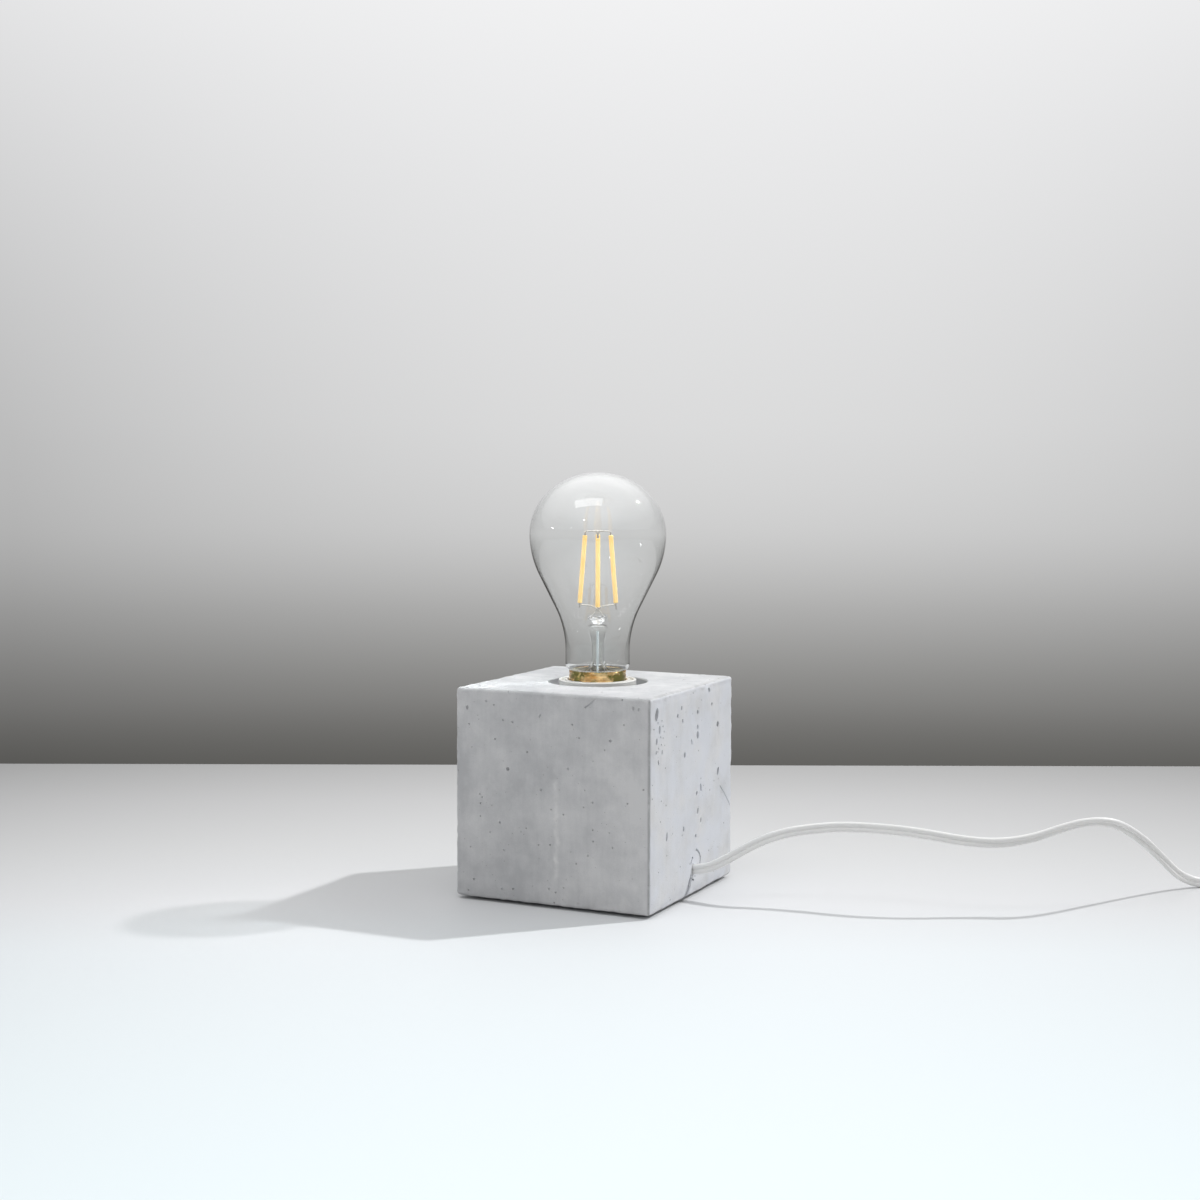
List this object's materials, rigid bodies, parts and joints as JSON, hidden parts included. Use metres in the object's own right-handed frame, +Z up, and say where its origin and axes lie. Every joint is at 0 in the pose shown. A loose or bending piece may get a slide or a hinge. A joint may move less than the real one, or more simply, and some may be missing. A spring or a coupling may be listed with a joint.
{
  "type": "table lamp",
  "caption": "Concrete cube table lamp with a bare pear-shaped filament bulb that screws out of its holder, a flat cord with an in-line rocker switch, and a plug.",
  "frame": {"origin": "on the table, under the middle of the concrete cube", "axes": "+Z up along the bulb's axis, -Y out of the broad front face, +X out of the face that the cord leaves"},
  "size_m": [0.4392, 0.208, 0.1992],
  "materials": {
    "concrete": "cast concrete, matt, with air bubbles",
    "rubber": "matt",
    "cover_plate": "black, satin",
    "steel": "zinc plated",
    "brass": "plain",
    "cap_gold": "bright gold",
    "holder_white": "white, satin gloss",
    "switch_white": "white, satin gloss",
    "nylon": "natural white",
    "cord_sheath": "milky white PVC",
    "live_core": "brown PVC",
    "neutral_core": "blue PVC",
    "ceramic": "unglazed",
    "clear_glass": "clear",
    "cement": "matt",
    "phosphor": "yellow coating",
    "nickel": "thin wire and sheet",
    "circuit_board": "green lacquer",
    "black_plastic": "black",
    "tie_band": "white"
  },
  "bodies": {
    "root": {"concrete_block": "concrete", "foot_pads": "rubber", "bottom_cover": "cover_plate", "cover_screws": "steel", "threaded_inserts": "brass", "fixing_nipple": "steel", "nipple_washer": "steel", "nipple_nut": "steel", "outlet_sleeve": "nylon", "cord_inner": "cord_sheath", "clamp_front": "nylon", "clamp_back": "nylon", "clamp_screws": "steel", "live_wire": "live_core", "neutral_wire": "neutral_core", "holder_base": "holder_white", "holder_grub_screw": "steel", "contact_block": "ceramic", "live_terminal": "brass", "neutral_terminal": "brass", "terminal_screws": "steel", "centre_contact": "brass", "screw_shell": "brass", "holder_skirt": "holder_white", "cord_to_switch": "cord_sheath", "switch_lower": "switch_white", "switch_upper": "switch_white", "switch_pin": "steel", "switch_contacts": "brass", "switch_wires": "nylon", "switch_clamps": "nylon", "switch_screws": "steel", "cord_to_coil": "cord_sheath", "cord_coil": "cord_sheath", "cord_tie": "tie_band", "cord_to_plug": "cord_sheath", "plug_relief": "cord_sheath", "plug_body": "switch_white", "plug_pins": "steel", "pin_sleeves": "black_plastic"},
    "bulb_lifter": {"cap_insulator": "black_plastic", "bulb_contact": "nickel"},
    "bulb": {"bulb_cap": "cap_gold", "bulb_glass": "clear_glass", "basing_cement": "cement", "glass_stem": "clear_glass", "exhaust_tube": "clear_glass", "led_filaments": "phosphor", "filament_tabs": "nickel", "top_hub": "nickel", "lower_hub": "nickel", "lead_wires": "nickel", "driver_board": "circuit_board", "driver_parts": "black_plastic"},
    "rocker": {"switch_rocker": "switch_white", "switch_bridge": "brass"}
  },
  "joints": [
    {"name": "bulb_lift", "type": "slide", "parent": "root", "child": "bulb_lifter", "axis": [0, 0, 1], "range_m": [0, 0.01815]},
    {"name": "bulb_turn", "type": "hinge", "parent": "bulb_lifter", "child": "bulb", "pos_m": [0, 0, 0.09], "axis": [0, 0, 1], "range_deg": [0, 1800]},
    {"name": "rocker_tilt", "type": "hinge", "parent": "root", "child": "rocker", "pos_m": [0.3345, 0.0952, 0.0146], "axis": [0.7071, 0.7071, 0], "range_deg": [0, 18]}
  ],
  "couplings": [
    {"joint": "bulb_lift", "follows": "bulb_turn", "m_per_rad": 0.00057757}
  ]
}
